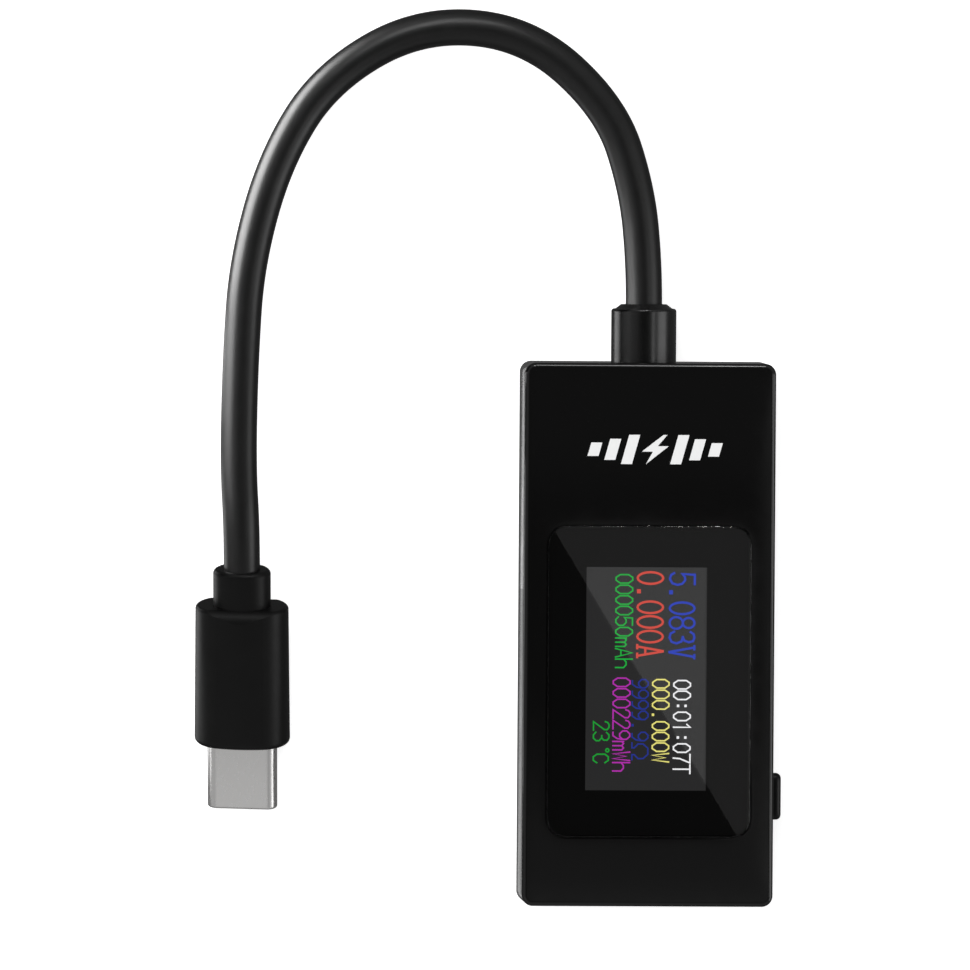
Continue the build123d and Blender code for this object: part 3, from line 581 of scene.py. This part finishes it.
# Dome brightness by height: 0 is straight down, 0.5 the horizon, 1 straight up.
DOME_STOPS = [
    (0.0, 0.10),
    (0.47, 0.14),
    (0.52, 0.36),
    (0.70, 0.38),
    (0.85, 0.34),
    (0.95, 0.22),
    (0.985, 0.06),
    (1.0, 0.015),
]
KEY_PLACE = (-0.35, 0.25, 1.1)
KEY_SIZE = 0.9
KEY_POWER = 10.5


def emitter(name, strength):
    """Material that gives white light."""
    material = bpy.data.materials.new(name)
    material.use_nodes = True
    tree = material.node_tree
    tree.nodes.clear()
    light = tree.nodes.new("ShaderNodeEmission")
    light.name = "light"
    light.inputs["Color"].default_value = (1, 1, 1, 1)
    light.inputs["Strength"].default_value = strength
    output = tree.nodes.new("ShaderNodeOutputMaterial")
    tree.links.new(light.outputs[0], output.inputs["Surface"])
    return material


def stage_mesh(name, points, faces, material):
    """Mesh that belongs to the stage, not to the object."""
    mesh = bpy.data.meshes.new(name)
    mesh.from_pydata([tuple(p) for p in points], [], faces)
    obj = bpy.data.objects.new(name, mesh)
    bpy.context.scene.collection.objects.link(obj)
    mesh.materials.append(material)
    return obj


def hide_card(card):
    """Leaves the card in reflections only."""
    card.visible_camera = False
    card.visible_diffuse = False
    card.visible_transmission = False
    card.visible_shadow = False


def reflector(name, points, strength):
    """Flat card that only shows in reflections."""
    card = stage_mesh(name, points, [range(len(points))], emitter(name, strength))
    hide_card(card)
    return card


def light_only(card, pieces):
    """Limits a card's light to some pieces, so that nothing else mirrors it."""
    receivers = bpy.data.collections.new(card.name + "_receivers")
    for piece in pieces:
        receivers.objects.link(piece)
    card.light_linking.receiver_collection = receivers


def facing_card(name, centre_mm, aim_mm, width_mm, height_mm, strength):
    """Upright rectangle at centre that faces aim."""
    centre = Vector(centre_mm) * MM
    away = (centre - Vector(aim_mm) * MM).normalized()
    across = Vector((0, 0, 1)).cross(away).normalized() * width_mm * MM / 2
    up = away.cross(across).normalized() * height_mm * MM / 2
    corners = [centre - across - up, centre + across - up, centre + across + up, centre - across + up]
    return reflector(name, corners, strength)


def side_card(name, x_mm, y_mm, z_mm, strength):
    """Card square to X, between two Y and two Z values."""
    (y0, y1), (z0, z1) = y_mm, z_mm
    corners = [(x_mm, y0, z0), (x_mm, y1, z0), (x_mm, y1, z1), (x_mm, y0, z1)]
    return reflector(name, [Vector(c) * MM for c in corners], strength)


def level_card(name, x_mm, y_mm, z_mm, strength):
    """Level card at one height, between two X and two Y values."""
    (x0, x1), (y0, y1) = x_mm, y_mm
    corners = [(x0, y0, z_mm), (x1, y0, z_mm), (x1, y1, z_mm), (x0, y1, z_mm)]
    return reflector(name, [Vector(c) * MM for c in corners], strength)


def make_floor():
    """White surface just below the object, bright enough to burn out, and left out of reflections."""
    surface = Surface("floor", (0.8, 0.8, 0.8), 0.9, Specular_IOR_Level=0.0)
    surface.set("Emission Color", (1, 1, 1, 1))
    surface.set("Emission Strength", FLOOR_GLOW)
    s = FLOOR_SIZE / 2
    corners = [(-s, -s, FLOOR_Z), (s, -s, FLOOR_Z), (s, s, FLOOR_Z), (-s, s, FLOOR_Z)]
    floor = stage_mesh("floor", corners, [range(4)], surface.material)
    floor.visible_glossy = False


def make_world():
    """Studio dome: dim below the horizon, bright above it and dark straight overhead."""
    world = bpy.data.worlds.new("studio")
    bpy.context.scene.world = world
    world.use_nodes = True
    tree = world.node_tree
    place = tree.nodes.new("ShaderNodeTexCoord")
    split = tree.nodes.new("ShaderNodeSeparateXYZ")
    tree.links.new(place.outputs["Generated"], split.inputs[0])
    scale = tree.nodes.new("ShaderNodeMapRange")
    scale.inputs["From Min"].default_value = -1.0
    tree.links.new(split.outputs["Z"], scale.inputs["Value"])
    ramp = tree.nodes.new("ShaderNodeValToRGB")
    tree.links.new(scale.outputs[0], ramp.inputs[0])
    elements = ramp.color_ramp.elements
    while len(elements) < len(DOME_STOPS):
        elements.new(0.5)
    for element, (height, brightness) in zip(elements, DOME_STOPS):
        element.position = height
        element.color = (brightness, brightness, brightness, 1.0)
    back = tree.nodes["Background"]
    tree.links.new(ramp.outputs["Color"], back.inputs["Color"])
    back.inputs["Strength"].default_value = 1.0


def make_key_light():
    """Big soft overhead light that shows in no reflection."""
    lamp = bpy.data.lights.new("key", "AREA")
    lamp.shape = "DISK"
    lamp.size = KEY_SIZE
    lamp.energy = KEY_POWER
    key = bpy.data.objects.new("key", lamp)
    key.location = KEY_PLACE
    key.rotation_euler = Vector(KEY_PLACE).to_track_quat("Z", "Y").to_euler()
    bpy.context.scene.collection.objects.link(key)
    key.visible_glossy = False


# ---------------------------------------------------------------- cards that the flat top mirrors
# All lengths from here on are in millimetres.
WINDOW_CORNER_R = 2.4
CORNER_STEPS = 8
GLARE_INSET = 0.1
GLARE_HEIGHT = 60
GLARE_STRENGTH = 0.353
# Where the glare's slanted edge starts and ends, as shares of the window from its upper left corner.
GLARE_START = (0.035, 0.022)
GLARE_END = (0.925, 0.982)
# The sheen card lies above the glare card. Brightness: everywhere, more at the foot and at the head,
# more towards the right edge, and more at the very rim of the foot.
SHEEN_HEIGHT = 61
# The ring starts this far outside the window.
SHEEN_GAP = 0.25
SHEEN_BASE, SHEEN_FOOT, SHEEN_HEAD, SHEEN_RIGHT, SHEEN_RIM = 0.012, 0.12, 0.04, 0.36, 0.15
SHEEN_FOOT_SPAN = (-8, -24)
SHEEN_HEAD_SPAN = (14, 22)
SHEEN_RINGS = 6
SHEEN_STEP = 2
EDGE_MARGIN = 0.2
# The glint cards' height, the Y where the upper one ends, and their strengths.
GLINT_HEIGHT = 0.3
GLINT_MIDDLE = 5
GLINT_UPPER, GLINT_LOWER = 1.0, 0.55


def window_outline(inset_mm):
    """The window's outline, rounded corners included, counter-clockwise."""
    low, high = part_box("display_window")
    radius = (WINDOW_CORNER_R - inset_mm) * MM
    inset = inset_mm * MM
    points = []
    for quarter, (sx, sy) in enumerate([(1, 1), (-1, 1), (-1, -1), (1, -1)]):
        corner = Vector((high.x if sx > 0 else low.x, high.y if sy > 0 else low.y))
        centre = corner - Vector((sx, sy)) * (radius + inset)
        for step in range(CORNER_STEPS + 1):
            t = (quarter + step / CORNER_STEPS) * pi / 2
            points.append(centre + radius * Vector((cos(t), sin(t))))
    return points


def clip(points, origin, normal):
    """The part of a convex outline on the side of a line that its normal points to."""
    kept = []
    for a, b in zip(points, points[1:] + points[:1]):
        da, db = (a - origin).dot(normal), (b - origin).dot(normal)
        if da >= 0:
            kept.append(a)
        if (da >= 0) != (db >= 0):
            kept.append(a + (b - a) * da / (da - db))
    return kept


def overhead(point, surface_z, card_z):
    """Where the camera's view of a level surface's point goes after it is mirrored up to a card."""
    eye = camera.matrix_world.translation
    mirrored = Vector((eye.x, eye.y, 2 * surface_z - eye.z))
    reach = (card_z - mirrored.z) / (surface_z - mirrored.z)
    return mirrored + (Vector((point.x, point.y, surface_z)) - mirrored) * reach


def make_window_glare():
    """Overhead card that the window mirrors as a slanted sheen over its upper right part."""
    low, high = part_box("display_window")
    start, end = (
        Vector((low.x + across * (high.x - low.x), high.y - down * (high.y - low.y)))
        for across, down in (GLARE_START, GLARE_END)
    )
    along = end - start
    outline = clip(window_outline(GLARE_INSET), start, Vector((-along.y, along.x)))
    places = [overhead(point, high.z, GLARE_HEIGHT * MM) for point in outline]
    reflector("window_glare", places, GLARE_STRENGTH)


def share_of(value, span_mm):
    """0 at the span's start, 1 at its end, clamped."""
    start, end = span_mm
    return min(1.0, max(0.0, (value / MM - start) / (end - start)))


def filled_in(points, step):
    """The closed outline with extra points, so that none of its sides is longer than step."""
    filled = []
    for a, b in zip(points, points[1:] + points[:1]):
        parts = max(1, ceil((b - a).length / step))
        filled += [a.lerp(b, part / parts) for part in range(parts)]
    return filled


def face_edge_point(point):
    """The point of the face's edge that lies outwards of a point of the window's outline."""
    low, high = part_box("front_shell")
    pane_low, pane_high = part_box("display_window")
    away = point - (pane_low + pane_high).to_2d() / 2
    across = 2 * away.x / (pane_high.x - pane_low.x)
    along = 2 * away.y / (pane_high.y - pane_low.y)
    grow = 1 / max(abs(across), abs(along))
    middle = (low + high).to_2d() / 2
    half = (high - low).to_2d() / 2
    return middle + Vector((across * grow * half.x, along * grow * half.y))


def sheen_brightness(here, edge, t):
    """How bright the sheen card is at a place, t of the way from the window to the face's edge."""
    low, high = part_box("front_shell")
    brightness = SHEEN_BASE + SHEEN_FOOT * share_of(here.y, SHEEN_FOOT_SPAN)
    brightness += SHEEN_HEAD * share_of(here.y, SHEEN_HEAD_SPAN)
    if edge.x > high.x - EDGE_MARGIN * MM:
        brightness += SHEEN_RIGHT * t**2
    if edge.y < low.y + EDGE_MARGIN * MM:
        brightness += SHEEN_RIM * t**6
    return brightness


def colored_emitter(name, layer_name):
    """Emitter that takes its brightness from a colour layer of the mesh."""
    material = emitter(name, 1.0)
    tree = material.node_tree
    picked = tree.nodes.new("ShaderNodeVertexColor")
    picked.layer_name = layer_name
    tree.links.new(picked.outputs["Color"], tree.nodes["light"].inputs["Color"])
    return material


def make_face_sheen():
    """Overhead ring card, mirrored by the face round the window: brighter at the foot and the right."""
    face_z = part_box("front_shell")[1].z
    inner = filled_in(window_outline(-SHEEN_GAP), SHEEN_STEP * MM)
    places, levels, quads = [], [], []
    for point in inner:
        edge = face_edge_point(point)
        for ring in range(SHEEN_RINGS):
            t = ring / (SHEEN_RINGS - 1)
            here = point.lerp(edge, t)
            places.append(overhead(here, face_z, SHEEN_HEIGHT * MM))
            levels.append(sheen_brightness(here, edge, t))
    for i in range(len(inner)):
        a, b = i * SHEEN_RINGS, (i + 1) % len(inner) * SHEEN_RINGS
        quads += [(a + ring, b + ring, b + ring + 1, a + ring + 1) for ring in range(SHEEN_RINGS - 1)]
    card = stage_mesh("face_sheen", places, quads, colored_emitter("face_sheen", "sheen"))
    layer = card.data.color_attributes.new("sheen", "FLOAT_COLOR", "POINT")
    for item, brightness in zip(layer.data, levels):
        item.color = (brightness, brightness, brightness, 1.0)
    hide_card(card)


def make_edge_glints():
    """Narrow level cards left of the housing's foot, mirrored by its side when seen from almost above."""
    low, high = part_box("back_shell")
    z = GLINT_HEIGHT * MM
    middle = GLINT_MIDDLE * MM
    upper = [(0.42, high.y), (0.55, high.y), (0.55, middle), (0.30, middle)]
    lower = [(0.30, middle), (0.55, middle), (0.55, low.y), (0.18, low.y)]
    for name, corners, strength in (("upper", upper, GLINT_UPPER), ("lower", lower, GLINT_LOWER)):
        points = [(low.x - out * MM, y, z) for out, y in corners]
        reflector("edge_glint_" + name, points, strength)


# ---------------------------------------------------------------- cards round the object
# Upright cards square to X: name, X, two Y values, two Z values, strength.
SIDE_CARDS = [
    ("left_card", -230, (56, 330), (-60, 135), 16.0),
    ("left_card_low", -90, (28, 41), (-60, -8), 3.0),
    ("left_card_plug", -90, (-22, 18), (-60, -8), 1.6),
    ("left_card_high", -230, (50, 68), (75, 190), 1.8),
    ("right_card", 330, (-220, 60), (60, 300), 2.1),
    ("plug_card", -75, (-26, -12), (-1, 3), 2.0),
]
# Level cards: name, two X values, two Y values, height, strength.
LEVEL_CARDS = [
    ("upper_right_card", (130, 175), (-60, 47), 260, 2.6),
    ("plug_top_card", (-66, -34), (235, 340), 280, 16.0),
    ("plug_shell_card", (-88, -38), (-78, -47), 62, 0.52),
]
# Cards beyond the lead's end that face the housing's upper edge: name, centre, aim, width, height, strength.
FACING_CARDS = [
    ("top_card", (18, 290, 210), (0, 32, 13), 34, 60, 10.0),
    ("top_card_end", (31, 284, 206), (0, 32, 13), 8, 60, 24.0),
]
# This large bright card would wash out the housing in views from the side, so it lights the lead alone.
LEAD_ONLY_CARD = "left_card"


def make_cards():
    """All cards round the object."""
    for card in SIDE_CARDS:
        made = side_card(*card)
        if made.name == LEAD_ONLY_CARD:
            light_only(made, [lead])
    for card in LEVEL_CARDS:
        level_card(*card)
    for card in FACING_CARDS:
        facing_card(*card)


def make_stage():
    """Floor, dome, light and cards."""
    make_floor()
    make_world()
    make_key_light()
    make_window_glare()
    make_face_sheen()
    make_edge_glints()
    make_cards()


make_stage()
bpy.context.scene.view_settings.view_transform = "Standard"
